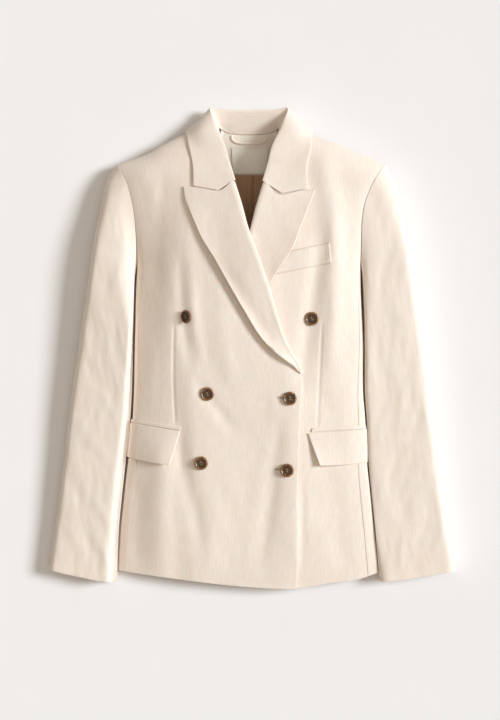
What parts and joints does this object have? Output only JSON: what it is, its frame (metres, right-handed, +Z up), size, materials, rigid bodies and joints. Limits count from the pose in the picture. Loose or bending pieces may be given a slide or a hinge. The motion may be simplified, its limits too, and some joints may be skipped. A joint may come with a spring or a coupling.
{
  "type": "double breasted blazer",
  "caption": "Double breasted blazer laid on its back, with peak lapels, flap pockets, a breast welt and two-piece sleeves.",
  "frame": {"origin": "middle of the rectangle that the laid garment covers, at the surface it rests on", "axes": "+X towards the wearer's left, +Y from hem to collar, +Z up from the surface"},
  "size_m": [0.6007, 0.71, 0.0704],
  "materials": {
    "suiting": "matte fine twill in cream with faint slubs",
    "lining": "tan satin lining",
    "label": "plain off-white woven tape",
    "button": "polished mottled brown horn look"
  },
  "bodies": {
    "root": {"front_right": "suiting", "front_left": "suiting", "back_right": "suiting", "back_left": "suiting", "side_right": "suiting", "side_left": "suiting", "topsleeve_right": "suiting", "undersleeve_right": "suiting", "topsleeve_left": "suiting", "undersleeve_left": "suiting", "lapel_right": "suiting", "lapel_left": "suiting", "collar": "suiting", "pocket_jet_right": "suiting", "pocket_flap_right": "suiting", "pocket_jet_left": "suiting", "pocket_flap_left": "suiting", "breast_welt": "suiting", "back_neck_facing": "suiting", "back_lining": "lining", "neck_label": "label", "hanger_loop": "suiting", "button_top_right": "button", "button_top_left": "button", "button_middle_right": "button", "button_middle_left": "button", "button_bottom_right": "button", "button_bottom_left": "button"}
  },
  "joints": []
}
